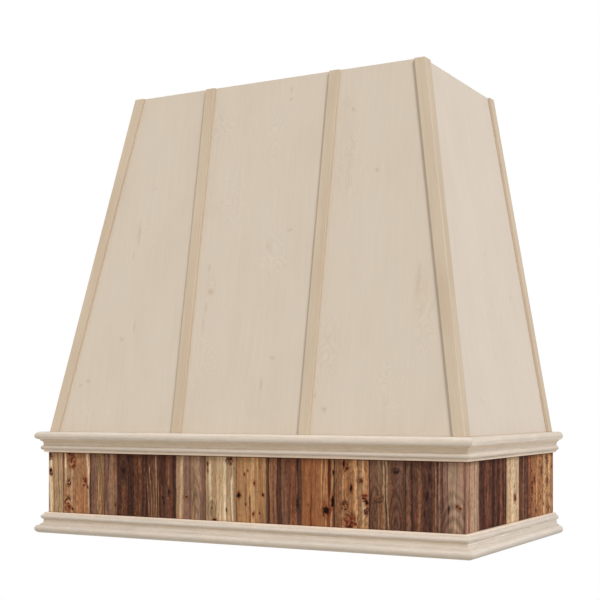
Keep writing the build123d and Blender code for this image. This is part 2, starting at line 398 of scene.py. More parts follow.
# In a look, sway is how far the grain wanders and ringGap the way from ring to ring, in millimetres.
# streak, lively, fleck and cloudy lighten and darken, from fibres to clouds; drift reddens and greys.
def makeWood(name, look, place):
    material, shader = newMaterial(name)
    board = boardSpace(place)
    seed = tuple(step * look["seed"] for step in grain["seedSteps"])
    loose = vecCalc("ADD", board, seed)  # noise reads this, so no two boards are alike
    ragged = pushed(board, noise(loose, grain["fray"], 3, 0.6, colour=True), grain["frayReach"])
    bent, wild = bendBoard(board, loose, ragged, look)
    bentLoose = vecCalc("ADD", bent, seed)

    colour = stripedBase(bent, look) if "stripes" in look else mottledBase(bentLoose, look)
    for line in look.get("lines", []):
        shown = times(lineMask(bent, line), grain["lineStrength"])
        colour = mixIn(shown, colour, woodTones[line[5]])

    # streaks, from a few millimetres down to single fibres
    streak = look["streak"]
    fibres = noise(bentLoose, grain["fibres"], 3, 0.6)
    colour = vary(colour, noise(bentLoose, grain["streaks"], 5, 0.68), streak)
    colour = vary(colour, fibres, streak * 0.5)
    if "lively" in look:
        colour = enliven(colour, bentLoose, look)
    rings = ringLines(bent, bentLoose, look)
    colour = mixIn(times(rings, look["ringDepth"]), colour, grain["ringTone"], "MULTIPLY")
    dips = calc("ADD", times(fibres, 0.5), times(rings, 0.3))

    if "pores" in look:
        pores = times(ease(noise(bentLoose, grain["pores"]), 0.56, 0.68), look["pores"])
        colour = brighten(colour, calc("SUBTRACT", 1, pores))
        dips = calc("ADD", dips, pores)
    if "dashes" in look:
        across, along = grain["dashes"]
        dashes = noise(bentLoose, (across * look.get("coarse", 1), along), 3, 0.6)
        dashes = times(ease(dashes, 0.57, 0.63), look["dashes"])
        colour = mixIn(dashes, colour, woodTones["wine"])
        dips = calc("ADD", dips, dashes)
    if "contours" in look:
        field = noise(loose, grain["contours"], 1, 0.4)
        wave = calc("SINE", times(field, look["contourTurns"]))
        wave = times(wave, spotMask(board, look["contours"], 0.4, 1.1))
        colour = brighten(colour, calc("MULTIPLY_ADD", wave, look["contourDepth"], 1))
    if "marks" in look:
        torn = pushed(board, noise(loose, grain["marks"], 3, 0.65, colour=True), grain["markReach"])
        colour = mixIn(spotMask(torn, look["marks"], 0.3, 1.3), colour, woodTones["mark"])
    if look.get("figures"):
        faint = times(figureRings(bent, loose, look), look["figureDepth"])
        colour = brighten(colour, calc("SUBTRACT", 1, faint))
    if look.get("burls"):
        curls = curlLines(loose, wild)
        curlTone = woodTones[look.get("burlTone", "wine")]
        colour = mixIn(times(curls, look.get("burlDepth", 1)), colour, curlTone)
        dips = calc("ADD", dips, times(curls, 0.5))
    if look.get("knots"):
        uneven = spread(noise(loose, grain["knots"], 3, 0.6), 0.5, 1.5)
    for knot in look.get("knots", []):
        core, halo, drop, strength = knotKinds[knot[4]]
        distance = times(awayFrom(ragged, knot)[0], uneven)
        colour = mixIn(ease(distance, 1, 2.5, 0.75 * strength, 0), colour, halo)
        inside = ease(distance, 0.75, 1.2, strength, 0)
        colour = mixIn(inside, colour, core)
        dips = calc("ADD", dips, times(inside, drop))
    if "plies" in look:
        cut = times(plyLayers(board, look), look["plies"]["depth"])
        colour = mixIn(cut, colour, grain["plyTone"], "MULTIPLY")

    colour = darkenEdgesAndEnds(colour, board, look)
    if "tint" in look:
        colour = vecCalc("MULTIPLY", colour, look["tint"])
    if "shade" in look:
        colour = brighten(colour, look["shade"])
    feed(shader.inputs["Base Color"], colour)
    feed(shader.inputs["Roughness"], spread(fibres, look["gloss"] - 0.06, look["gloss"] + 0.06))
    shader.inputs["Specular IOR Level"].default_value = look.get("shine", 0.25)
    setBump(shader, dips, look["relief"], invert=True)
    return material


def dress(name, material):
    piece = nodes[name]
    piece.data.materials.clear()
    piece.data.materials.append(material)


def corner(name, *ends):
    # a corner of a node's box; each end is 0 for its low side and 1 for its high side
    low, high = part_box(name)
    return tuple((low, high)[end][axis] for axis, end in enumerate(ends))


def boardEdge(name, along, across):
    # where a leaning board's first long edge is, and how wide the board is in millimetres
    along, across = squared(along, across)
    reaches = [(point.co.dot(across), point.co) for point in nodes[name].data.vertices]
    reaches.sort(key=lambda reach: reach[0])
    return reaches[0][1].copy(), (reaches[-1][0] - reaches[0][0]) / mm


# The pale maple body comes next.

panelLook = {
    "tones": ("mapleDark", "maple", "mapleLight"), "mottle": (90, 170), "sway": 3,
    "streak": 0.02, "heart": (-40, 260, 300), "ringSlope": 0.12, "ringGap": 5, "ringDepth": 0.04,
    "gloss": 0.6, "relief": 0.05, "contourDepth": 0.03, "contourTurns": 150,
    "burlTone": "strapDark", "burlDepth": 0.35,
}
# spots on the veneer: across from the panel's middle, or from the side panel's front edge, up,
# width, height and how strongly each shows
frontMarks = {
    "marks": [(-437, 123, 14, 11, .6), (-458, 113, 14, 6, .5), (-299, 591, 13, 6, .3),
              (-350, 223, 13, 11, .5), (-318, 252, 6, 40, .5), (-343, 428, 6, 22, .3),
              (-332, 482, 8, 60, .4), (-121, 386, 8, 18, .4), (-111, 328, 16, 16, .6),
              (-120, 288, 7, 34, .4), (-124, 251, 6, 40, .5), (56, 773, 15, 8, .45), (56, 796, 8, 18, .3),
              (84, 461, 17, 8, .45), (33, 424, 22, 34, .2), (68, 171, 17, 10, .5), (45, 112, 8, 34, .4),
              (219, 727, 10, 11, .55), (289, 581, 12, 12, .45), (404, 330, 12, 80, .35),
              (182, 86, 9, 11, .45), (207, 56, 14, 14, .55)],
    "burls": [(-338, 478, 24, 70), (202, 750, 30, 40), (410, 300, 36, 120), (-112, 340, 34, 60),
              (217, 600, 16, 190)],
    "contours": [(-88, 520, 120, 220), (-120, 742, 110, 200), (24, 690, 60, 180), (225, 610, 90, 260),
                 (195, 181, 90, 220), (358, 100, 90, 160), (-120, 150, 110, 220), (50, 400, 100, 150),
                 (425, 230, 60, 200), (-400, 60, 120, 110), (-300, 480, 120, 150, .5)],
}
sideMarks = {
    "marks": [(436, 318, 10, 14, .5), (313, 411, 10, 11, .4), (423, 366, 8, 12, .25),
              (101, 494, 20, 30, .25), (396, 164, 10, 12, .3)],
    "burls": [(93, 540, 40, 80)],
    "contours": [(101, 520, 120, 200), (158, 110, 120, 180), (300, 300, 120, 220)],
    # the side is made a little bluer than the front, a painted change of light on that side
    "tint": (1, 1.01, 1.045),
}
strapLook = {
    "tones": ("strapDark", "strap", "strapLight"), "sway": 1.5, "streak": 0.035,
    "heart": (-90, 60, 0), "ringSlope": 0.03, "ringGap": 3.2, "ringDepth": 0.12,
    # edgeTone darkens the long edges, partly as painted contact shade
    "gloss": 0.58, "relief": 0.06, "edgeReach": 1.2, "edgeTone": "strapEdge",
}


def paintBody():
    frontUp, rightUp, leftUp = (0, frontSlope, 1), (-sideSlope, 0, 1), (sideSlope, 0, 1)
    frontMiddle = (0, *corner("front_panel", 0, 0, 0)[1:])
    panels = {
        "front_panel": (frontMarks, frontMiddle, frontUp, toRight),
        "right_side_panel": (sideMarks, corner("right_side_panel", 1, 0, 0), rightUp, toBack),
        "left_side_panel": ({}, corner("left_side_panel", 0, 1, 0), leftUp, toFront),
    }
    for seed, (name, (marks, *place)) in enumerate(panels.items(), firstSeed["panel"]):
        dress(name, makeWood(name, dict(panelLook, seed=seed, **marks), place))
    # the straps' grain, how light each is and how dark its two edges are
    # the right side's straps are darker as painted shade; the dark edges are partly painted contact shade
    straps = {
        "front_strap_left_corner": (leftCorner, toRight, 1, 0.2),
        "front_strap_left": (frontUp, toRight, 0.99, 0.15),
        "front_strap_right": (frontUp, toRight, 0.98, 0.15),
        "front_strap_right_corner": (rightCorner, toRight, 0.98, 0),
        "left_strap_front": (leftCorner, toFront, 0.97, 0.2),
        "left_strap_back": (leftUp, toFront, 0.97, 0.4),
        "right_strap_front": (rightCorner, toBack, 0.93, 0),
        "right_strap_back": (rightUp, toBack, 0.96, 0),
    }
    for seed, (name, (along, across, shade, edges)) in enumerate(straps.items(), firstSeed["strap"]):
        origin, width = boardEdge(name, along, across)
        look = dict(strapLook, seed=seed, width=width, shade=shade, edgeShade=edges)
        dress(name, makeWood(name, look, (origin, along, across)))


paintBody()
print("body panels and straps painted")

# Two mouldings frame the strips, the lower one with the same section turned over.

moulding = {
    # the section, in millimetres and degrees
    "height": 49, "back": 8, "footReach": 7.8, "footTop": 4.6, "footCut": 0.8,
    "beadRadius": 5.6, "beadReach": 8.2, "beadHeight": 10.6, "beadTurn": 172,
    "quirkReach": 8.5, "quirkTop": 18.2, "quirkDepth": 1.2, "lipReach": 8.8, "lipTop": 20.6, "lipCut": 0.4,
    "coveRadius": 7.2, "coveTurn": 80, "coveFillet": 14.75,
    "rollLow": 8, "rollHigh": 10.5, "reach": 24.4,
    "steps": {"bead": 18, "cove": 12, "rollLow": 10, "rollHigh": 12},
    "arris": 0.4, "arrisAngle": 40, "smoothAngle": 32,
    # how light each length is and its tint, partly the wood's tone and partly painted light and shade
    "shade": {"upper_front": 0.9, "upper_right": 0.97, "upper_left": 0.9,
              "lower_front": 0.86, "lower_right": 0.84, "lower_left": 0.88},
    "tint": {"front": (1.01, 1.01, 1.03), "left": (1.01, 1.01, 1.03), "right": (1, 1.01, 1.05)},
}
mouldingLook = {
    "sway": 1.2, "streak": 0.02, "lively": 0.04, "fleck": 0.03, "cloudy": 0.05, "drift": 0.01,
    "blur": 0.03, "even": 0, "width": moulding["height"],
    "heart": (-70, 80, 0), "ringSlope": 0.03, "ringGap": 4, "ringDepth": 0.06,
    "gloss": 0.55, "relief": 0.05,
}
# tones up the section from the side that meets the strips: foot, bead, quirk, cove and roll
# These bands paint light and shade, lightening some parts of the section and darkening others.
mouldingShadeBands = {
    "upper_front": "mouldFoot .1 mouldDim .33 mouldWarm .42 mouldSand .64 mouldFair .74 mouldSoft "
                   ".92 mouldFair",
    "upper_right": "mouldFoot .1 mouldDim .36 mouldFair .45 mouldWarm .62 mouldPale .74 mouldDim",
    "lower_front": "mouldFoot .06 mould .33 mouldWarm .42 mouldDim .5 mouldSoft .6 mould .74 mouldSoft",
    "lower_right": "mouldFoot .06 mould .27 mouldBright .4 mouldSoft .6 mouldFair .76 mould",
}
for level in ("upper", "lower"):
    mouldingShadeBands[level + "_left"] = mouldingShadeBands[level + "_front"]


def addArris(piece, width, angle):
    # a rounding so many millimetres wide along every edge sharper than this angle
    arris = piece.modifiers.new("arris", "BEVEL")
    arris.width, arris.segments = width * mm, 2
    arris.limit_method, arris.angle_limit = "ANGLE", math.radians(angle)
    return arris


def makeMoulding(name, start, out, up, run, mitres):
    # start is on the strips' face at their end; out, up and run are the section's directions
    size, steps = moulding, moulding["steps"]
    start, out, up, run = (Vector(given) for given in (start, out, up, run))
    rollLevel = size["height"] - size["rollHigh"]

    def at(reach, height):
        return start + (out * reach + up * height) * mm

    def draw(reach, height):
        # a straight stretch from where the line has got to
        pen.append(at(reach, height))
        bpy.ops.mesh.extrude_vertices_move(TRANSFORM_OT_translate={"value": pen[-1] - pen[-2]})

    def turn(reach, height, degrees, count):
        # a round stretch about the centre that lies there
        centre = at(reach, height)
        bpy.ops.mesh.spin(steps=count, angle=math.radians(degrees), center=centre, axis=up.cross(out))
        arm = pen[-1] - centre
        pen.append(centre + Matrix.Rotation(math.radians(degrees), 3, out.cross(up)) @ arm)

    bpy.ops.object.select_all(action="DESELECT")
    bpy.ops.mesh.primitive_plane_add(size=size["footTop"] * mm, location=at(-size["back"], 0))
    piece = bpy.context.object
    piece.name = name
    bpy.ops.object.transform_apply(location=True, rotation=False, scale=False)
    bpy.ops.object.mode_set(mode="EDIT")
    bpy.ops.mesh.merge(type="CENTER")
    pen = [at(-size["back"], 0)]
    draw(size["footReach"] - size["footCut"], 0)
    draw(size["footReach"], size["footCut"])
    draw(size["footReach"], size["footTop"])
    draw(size["beadReach"], size["beadHeight"] - size["beadRadius"])
    turn(size["beadReach"], size["beadHeight"], size["beadTurn"], steps["bead"])
    draw(size["quirkReach"], size["quirkTop"] - size["quirkDepth"])
    draw(size["quirkReach"], size["quirkTop"])
    draw(size["lipReach"], size["quirkTop"] + size["lipCut"])
    draw(size["lipReach"], size["lipTop"])
    turn(size["lipReach"] + size["coveRadius"], size["lipTop"], -size["coveTurn"], steps["cove"])
    draw(size["coveFillet"], rollLevel - size["rollLow"])
    draw(size["reach"] - size["rollLow"], rollLevel - size["rollLow"])
    turn(size["reach"] - size["rollLow"], rollLevel, 90, steps["rollLow"])
    turn(size["reach"] - size["rollHigh"], rollLevel, 90, steps["rollHigh"])
    draw(-size["back"], size["height"])
    bpy.ops.mesh.select_all(action="SELECT")
    bpy.ops.mesh.edge_face_add()
    bpy.ops.mesh.extrude_region_move(TRANSFORM_OT_translate={"value": run})
    for point, normal in mitres:
        bpy.ops.mesh.select_all(action="SELECT")
        bpy.ops.mesh.bisect(plane_co=point, plane_no=normal, use_fill=True, clear_outer=True)
    bpy.ops.mesh.select_all(action="SELECT")
    bpy.ops.mesh.remove_doubles(threshold=1e-6)
    bpy.ops.mesh.normals_make_consistent(inside=False)
    bpy.ops.object.mode_set(mode="OBJECT")
    bpy.ops.object.modifier_apply(modifier=addArris(piece, size["arris"], size["arrisAngle"]).name)
    bpy.ops.object.shade_smooth_by_angle(angle=math.radians(size["smoothAngle"]))
    return piece


def makeMouldings():
    side, back, stripTop = corner("front_plank_14", 1, 0, 1)
    stripFoot = corner("front_plank_14", 1, 0, 0)[2]
    reach = moulding["reach"] * mm
    across = 2 * (side + reach)
    seed = firstSeed["moulding"]
    for level, height, up in (("upper", stripTop, toTop), ("lower", stripFoot, (0, 0, -1))):
        rightMitre, leftMitre = (side, back, height), (-side, back, height)
        pieces = {
            "front": ((side + reach, back, height), toFront, (-across, 0, 0), toRight,
                      [(rightMitre, (1, 1, 0)), (leftMitre, (-1, 1, 0))]),
            "right": ((side, 0, height), toRight, (0, back - reach, 0), toBack,
                      [(rightMitre, (-1, -1, 0))]),
            "left": ((-side, 0, height), (-1, 0, 0), (0, back - reach, 0), toBack,
                     [(leftMitre, (1, -1, 0))]),
        }
        for where, (start, out, run, along, mitres) in pieces.items():
            key, node = f"{level}_{where}", f"{level}_moulding_{where}"
            piece = makeMoulding(node + "_shaped", start, out, up, run, mitres)
            look = dict(mouldingLook, seed=seed, shade=moulding["shade"][key],
                        tint=moulding["tint"][where], stripes=mouldingShadeBands[key])
            seed += 1
            piece.data.materials.append(makeWood(node, look, (start, along, up)))
            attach(piece, "hood")
            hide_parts(node)


makeMouldings()
print("mouldings shaped")

# The band of mixed wood strips. Places are shares of a strip's width and height, sizes millimetres.
# stripes: the tones across, and between two of them the share where they meet.
# knots: across, up, width, height, kind. burls: across, up, width, height.
# figures: across, up, width, height, distance from ring to ring.
# lines: across and up at the low end, across and up at the high end, width, tone.
frontStrips = [
    {"stripes": "walnut .04 cream .17 paleCream .3 dun .42 tan .64 olive .72 tan .95 umber",
     "knots": [(.12, .7, 7, 8, "black"), (.2, .63, 5, 4, "brown"), (.08, .955, 5, 6, "black"),
               (.22, .93, 5, 4, "brown"), (.1, .88, 4, 4, "brown")],
     "burls": [(.16, .92, 15, 30), (.15, .66, 13, 22)], "even": .1, "tint": (1.14, 1.22, 1.3),
     "fleck": .15, "cloudy": .12},
    {"stripes": "dun .13 amber .26 tan .36 chestnut .48 amber .6 orange .76 amber .93 tan .985 walnut",
     "knots": [(.82, .55, 6, 13, "red"), (.89, .44, 5, 7, "brown"), (.24, .975, 8, 5, "black"),
               (.3, .87, 5, 8, "red"), (.4, .78, 6, 6, "red"), (.2, .1, 8, 9, "red"),
               (.34, .07, 5, 7, "black")],
     "burls": [(.3, .85, 32, 50), (.16, .15, 28, 48), (.78, .52, 20, 30), (.2, .5, 18, 26)],
     "lines": [(.07, .5, .07, 1, 5, "cream"), (.31, 0, .3, .72, 3.5, "straw"),
               (.975, 0, .955, .5, 2.5, "cream"), (.955, .44, .88, 1, 6, "cream")],
     "tint": (1.11, 1.17, 1.29)},
    {"stripes": "walnut .04 mauve .2 olive .28 dun .44 olive .49 redBrown .53 mauve .74 olive .84 mauve "
                ".95 darkWalnut",
     "knots": [(.92, .17, 5, 8, "brown")], "figures": [(.33, .5, 30, 260, 5)],
     "lines": [(.24, 0, .34, 1, 3, "tan"), (.4, 0, .42, .7, 2, "tan"), (.64, 0, .66, 1, 1.6, "redBrown")],
     "even": 0, "lively": .6, "tint": (1.04, 1.07, 1.09)},
    {"stripes": "darkWalnut .1 walnut .33 black .56 redBrown .64 walnut .7 redBrown .84 darkWalnut "
                ".93 plum .97 black",
     "knots": [(.2, .73, 11, 13, "soot")], "burls": [(.2, .74, 27, 56)],
     "lines": [(.13, 0, .17, .5, 3, "rust"), (.24, 0, .25, .6, 2, "redBrown"), (.66, 0, .62, 1, 2, "rust"),
               (.77, 0, .76, .9, 2, "rust")],
     "burlTone": "black", "lively": .4, "coarse": 1.3, "fleck": .42},
    {"stripes": "darkWalnut .09 redBrown .19 umber .36 walnut .46 darkWalnut .69 toffee .8 redBrown "
                ".89 black",
     "knots": [(.78, .42, 5, 12, "soot"), (.57, .32, 5, 5, "soot"), (.62, .24, 4, 5, "soot")],
     "lines": [(.12, -.05, .04, .7, 2.2, "dun"), (.22, -.05, .13, .8, 2.4, "tan"),
               (.31, -.05, .24, .7, 2, "dun"), (.36, 0, .34, 1, 3, "tan"), (.45, -.05, .4, .6, 2.2, "dun"),
               (.55, 0, .53, .5, 2, "chestnut"), (.66, 0, .67, .5, 2, "mauve"),
               (.73, .3, .8, 1, 3.5, "chestnut"), (.83, 0, .85, .4, 2, "rust")],
     "lively": .28, "even": .4, "tint": (.87, .83, .89)},
    {"stripes": "darkWalnut .02 dun .12 taupe .2 dun .28 mauve .45 plum .5 mauve .55 dun .66 taupe .8 dun "
                ".84 mauve .9 plum .97 walnut",
     "knots": [(.37, .35, 9, 6, "brown")], "figures": [(.68, -.12, 38, 260, 5), (.36, .35, 22, 34, 4.5)],
     "lines": [(.17, 0, .2, 1, 7, "straw")], "even": .25, "tint": (1.12, 1.2, 1.3), "drift": .04,
     "fleck": .15, "lively": .2},
    {"stripes": "umber .02 tan .11 straw .19 tan .34 straw .58 cream .67 tan .84 straw .89 dun .98 mauve",
     "knots": [(.07, .88, 4, 9, "brown"), (.08, .76, 3, 7, "brown"), (.82, .885, 4, 4, "brown"),
               (.74, .96, 5, 4, "brown"), (.3, .015, 8, 6, "black"), (.69, .17, 3, 10, "brown")],
     "burls": [(.78, .93, 26, 28)], "figures": [(.2, .1, 34, 90, 4.8)],
     "lines": [(.17, .28, .15, .9, 5, "paleCream"), (.63, 0, .62, 1, 6.5, "paleCream"),
               (.86, 0, .84, .68, 4, "paleCream"), (.17, .12, .2, .3, 6, "dun")],
     "tint": (1.04, 1.12, 1.2), "drift": .03, "fleck": .13, "cloudy": .12},
    {"stripes": "rust .02 amber .1 honey .26 amber .34 honey .44 gold .6 amber .64 honey .74 amber .88 dun "
                ".96 darkWalnut",
     "knots": [(.08, .41, 8, 12, "black"), (.58, .6, 6, 8, "red"), (.85, .43, 5, 6, "black"),
               (.54, .13, 5, 8, "red"), (.26, .73, 4, 6, "brown"), (.37, .79, 3, 4, "brown"),
               (.74, .15, 3, 5, "brown"), (.3, .28, 3, 5, "brown")],
     "lines": [(.44, -.05, .425, .42, 3.4, "wine")], "tint": (1.06, 1.1, 1.14), "drift": .04, "fleck": .14,
     "cloudy": .12},
    {"stripes": "darkWalnut .03 chestnut .14 toffee .2 chestnut .27 darkWalnut .42 umber .55 redBrown "
                ".68 rust .88 darkWalnut .95 plum",
     "knots": [(.9, .88, 4, 24, "soot"), (.91, .3, 5, 20, "soot")],
     "lines": [(.03, 0, .02, 1, 2.2, "black"), (.8, .1, .84, .8, 1.4, "darkWalnut"),
               (.72, .2, .72, .9, 2, "chestnut"), (.5, 0, .48, 1, 1.8, "toffee")],
     "dashes": .25, "even": .1, "tint": (1.07, 1.08, 1.16)},
    {"stripes": "walnut .03 orange .27 rust .35 orange .5 chestnut .6 amber .66 orange .72 honey .8 rust "
                ".9 gold .96 darkWalnut",
     "knots": [(.757, .24, 13, 17, "black"), (.965, .37, 9, 22, "black"), (.98, .8, 6, 10, "black"),
               (.22, .3, 3, 5, "brown")],
     "lines": [(.86, .44, .84, 1, 6.5, "wine"), (.32, -.05, .3, .46, 2.6, "wine"),
               (.62, 0, .62, 1, 2, "gold"), (.7, .45, .74, 1, 2.5, "gold"), (.76, 0, .77, .2, 7, "honey"),
               (.93, .5, .95, 1, 3, "gold")],
     "drift": .04, "tint": (1.03, .95, .94), "fleck": .14, "cloudy": .12},
    {"stripes": "darkWalnut .02 toffee .1 rust .24 honey .28 orange .42 amber .56 gold .66 chestnut "
                ".74 amber .81 gold .88 amber .985 darkWalnut",
     "knots": [(.27, .93, 6, 14, "black"), (.48, .58, 6, 15, "black"), (.76, .69, 9, 9, "brown"),
               (.88, .48, 11, 5, "red"), (.93, .38, 7, 9, "black"), (.36, .09, 6, 7, "red"),
               (.5, .14, 7, 6, "red"), (.6, .06, 8, 5, "red"), (.44, .03, 8, 4, "black")],
     "burls": [(.44, .11, 38, 46), (.86, .44, 22, 24), (.92, .26, 14, 26), (.74, .7, 18, 20),
               (.34, .88, 20, 22), (.3, .32, 22, 26)],
     "lines": [(.6, .2, .62, 1, 4, "gold"), (.84, -.05, .84, .46, 5, "straw"),
               (.83, .55, .84, 1, 4, "straw"), (.67, 0, .67, 1, 2, "redBrown")],
     "even": .35, "tint": (1.07, 1.11, 1.18), "fleck": .4},
    {"stripes": "black .02 plum .13 umber .24 olive .33 umber .42 dun .47 umber .59 walnut .75 plum "
                ".86 redBrown .965 black",
     "knots": [(.76, .83, 12, 6, "soot"), (.28, .44, 5, 6, "brown")],
     "burls": [(.28, .45, 26, 26), (.74, .86, 22, 12)],
     "figures": [(.76, -.1, 44, 250, 5), (.16, .2, 44, 190, 6)],
     "lines": [(.53, 0, .44, 1, 2, "black"), (.565, 0, .49, 1, 3, "tan"), (.41, .5, .4, 1, 2, "tan"),
               (.38, 0, .4, .5, 3, "chestnut")],
     "figureDepth": .42, "lively": .2, "even": .4, "tint": (1.14, 1.17, 1.26), "burlTone": "black"},
    {"stripes": "darkWalnut .03 umber .08 toffee .15 black .2 walnut .31 toffee .43 darkWalnut "
                ".74 redBrown .8 mauve .85 walnut .9 mauve .94 plum",
     "knots": [(.6, .5, 5, 16, "soot"), (.66, .75, 3, 14, "soot"), (.53, .25, 3, 12, "soot")],
     "lines": [(.37, 0, .36, .85, 5, "chestnut"), (.92, 0, .92, 1, 2, "taupe"),
               (.82, 0, .82, 1, 1.8, "dun")],
     "tint": (1.05, 1.07, 1.17), "fleck": .4},
    {"stripes": "plum .08 mauve .24 plum .28 taupe .5 rose .6 taupe .85 pink .93 mauve",
     "knots": [(.29, .34, 2.4, 10, "soot"), (.66, .38, 5, 5, "brown"), (.79, .35, 5, 4, "brown")],
     "figures": [(.5, -.7, 110, 420, 6.5)], "figureDepth": .42, "even": .05, "fleck": .12, "cloudy": .1,
     "tint": (1.12, 1.19, 1.27), "drift": .03},
]
rightStrips = [
    {"stripes": "mauve .06 pink .24 rust .3 pink .38 rose .62 taupe .7 rose .9 taupe .97 plum",
     "lines": [(.31, 0, .28, 1, 2.5, "rust"), (.12, 0, .13, 1, 1.5, "mauve")], "tint": (1.08, 1.1, 1.14),
     "drift": .04, "even": .1},
    {"stripes": "plum .06 darkWalnut .3 black .4 walnut .52 redBrown .72 walnut .88 black",
     "lines": [(.47, 0, .5, 1, 3, "rust"), (.6, 0, .62, 1, 2, "toffee")], "dashes": .3, "lively": .5,
     "coarse": 2, "even": .1, "tint": (.92, .81, .8), "fleck": .45},
    {"stripes": "black .12 walnut .3 darkWalnut .5 toffee .68 darkWalnut .8 redBrown .94 black",
     "knots": [(.75, .4, 6, 22, "soot")],
     "lines": [(.25, 0, .22, 1, 2.5, "rust"), (.58, 0, .6, 1, 3, "rust")], "dashes": .35, "lively": .6,
     "coarse": 2, "even": .05, "tint": (.88, .74, .73), "fleck": .55},
    {"stripes": "straw .08 cream .2 gold .32 cream .42 paleCream .64 cream .9 straw",
     "knots": [(.67, .37, 12, 14, "red"), (.62, .54, 4, 4, "brown")], "figures": [(.67, .37, 30, 34, 5.5)],
     "ringDepth": .3, "tint": (.93, .96, 1.01), "drift": .03, "dashes": .12, "lively": .18, "coarse": 1.6},
    {"stripes": "darkWalnut .16 walnut .3 plum .36 mauve .45 walnut .66 darkWalnut .78 rust .95 walnut",
     "lines": [(.58, 0, .6, 1, 2, "mauve"), (.2, 0, .18, 1, 2, "toffee")], "dashes": .4, "lively": .55,
     "coarse": 2, "even": .05, "tint": (1.04, .96, .9), "fleck": .55},
    {"stripes": "toffee .1 orange .35 amber .6 orange .75 amber .95 umber",
     "knots": [(.28, .6, 9, 15, "black"), (.07, .28, 7, 12, "brown"), (.85, .3, 5, 9, "brown")],
     "burls": [(.5, .12, 24, 26), (.1, .45, 16, 60), (.9, .7, 14, 40)],
     "lines": [(.5, .2, .55, 1, 4, "gold")], "dashes": .9, "lively": .4, "coarse": 2,
     "tint": (1.12, 1.13, 1.16), "fleck": .4},
    {"stripes": "tan .1 gold .35 honey .5 gold .75 amber .9 dun .97 redBrown",
     "knots": [(.45, .58, 6, 7, "brown")],
     "burls": [(.4, .88, 28, 34), (.45, .55, 24, 34), (.5, .1, 26, 30)],
     "lines": [(.2, 0, .25, 1, 6, "cream"), (.7, 0, .66, 1, 4, "cream")], "dashes": 1, "lively": .4,
     "coarse": 2, "drift": .04, "tint": (1.02, .94, .93)},
]
# the left side isn't seen, so its strips are others of the same woods, from the wall to the front
leftStrips = [
    {"stripes": "umber .2 mauve .45 olive .8 plum .95 umber", "knots": [(.6, .6, 6, 7, "brown")],
     "figures": [(.5, -.2, 50, 260, 5)]},
    {"stripes": "amber .15 honey .4 amber .55 gold .7 honey .95 walnut",
     "knots": [(.3, .7, 9, 11, "black"), (.75, .25, 6, 8, "red")],
     "lines": [(.6, 0, .58, .5, 2.5, "wine")]},
    {"stripes": "darkWalnut .3 walnut .5 black .65 redBrown .9 darkWalnut",
     "knots": [(.7, .4, 9, 14, "soot")], "lines": [(.4, 0, .42, 1, 2.5, "rust")]},
    {"stripes": "walnut .04 orange .25 rust .4 orange .75 amber .95 rust",
     "knots": [(.5, .3, 11, 16, "black")], "burls": [(.3, .85, 26, 30)],
     "lines": [(.85, 0, .8, 1, 3, "gold")]},
    {"stripes": "straw .2 cream .45 gold .7 cream .9 tan", "knots": [(.35, .45, 9, 11, "red")],
     "burls": [(.75, .8, 24, 30)]},
    {"stripes": "walnut .2 redBrown .5 darkWalnut .7 rust .9 walnut",
     "lines": [(.4, 0, .36, 1, 2.5, "toffee")], "dashes": .3},
    {"stripes": "tan .3 dun .6 straw .85 tan .96 umber",
     "knots": [(.25, .3, 6, 8, "brown"), (.6, .75, 5, 7, "brown")],
     "lines": [(.8, 0, .82, 1, 4, "paleCream")]},
]

stripLook = {
    "sway": 2.6, "blur": 0.008, "even": 0.28, "streak": 0.16, "lively": 0.3, "fleck": 0.28,
    "cloudy": 0.18, "pores": 0.45, "drift": 0.07,
    # the tree's middle, which the rings go round, also in shares
    "heart": (-.9, 30, .5), "ringSlope": 0.05, "ringGap": 3.2, "ringDepth": 0.4,
    "figureWarp": (10, 0, 16), "figureDepth": 0.36, "shade": 1.1, "gloss": 0.5, "shine": 0.01,
    # endShade darkens the foot, and at the top paints the shadow under the upper moulding
    "relief": 0.2, "edgeShade": 0.7, "edgeReach": 1.5, "edgeTone": "black", "endShade": (0.45, 0.75),
}


def inMillimetres(look, width, height):
    # a strip's look, its shares made millimetres
    made = dict(stripLook, width=width, height=height)
    made.update(look)
    across, inward, up = made["heart"]
    made["heart"] = (across * width, inward, up * height)
    for key in ("knots", "burls", "figures"):
        made[key] = [(x * width, z * height, *rest) for x, z, *rest in look.get(key, [])]
    made["lines"] = [(lowX * width, lowZ * height, highX * width, highZ * height, *rest)
                     for lowX, lowZ, highX, highZ, *rest in look.get("lines", [])]
    return made


def paintStrips():
    rows = [("front_plank_{:02d}", frontStrips, (0, 0, 0), toRight),
            ("right_plank_{}", rightStrips, (1, 0, 0), toBack),
            ("left_plank_{}", leftStrips[::-1], (0, 1, 0), toFront)]
    seed = firstSeed["strip"]
    for naming, looks, ends, across in rows:
        for number, look in enumerate(looks, 1):
            name = naming.format(number)
            low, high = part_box(name)
            size = (high - low) / mm
            made = inMillimetres(look, size.x if across[0] else size.y, size.z)
            dress(name, makeWood(name, dict(made, seed=seed), (corner(name, *ends), toTop, across)))
            seed += 1


paintStrips()
print("strips painted")

# Behind them are the foot's boards, the frame inside and the two cleats.

plywoodLook = {
    "tones": ("plyDark", "ply", "plyLight"), "sway": 4, "streak": 0.06,
    "heart": (-60, 200, 200), "ringSlope": 0.1, "ringGap": 6, "ringDepth": 0.2,
    "gloss": 0.62, "relief": 0.08, "plies": {"thickness": 18, "count": 9, "depth": 0.8},
}
poplarLook = {
    "tones": ("poplarDark", "poplar", "poplarLight"), "mottle": (22, 420), "sway": 3,
    "streak": 0.1, "pores": 0.2,
    "heart": (-30, 40, 100), "ringSlope": 0.06, "ringGap": 4, "ringDepth": 0.28,
    "gloss": 0.6, "relief": 0.1,
}


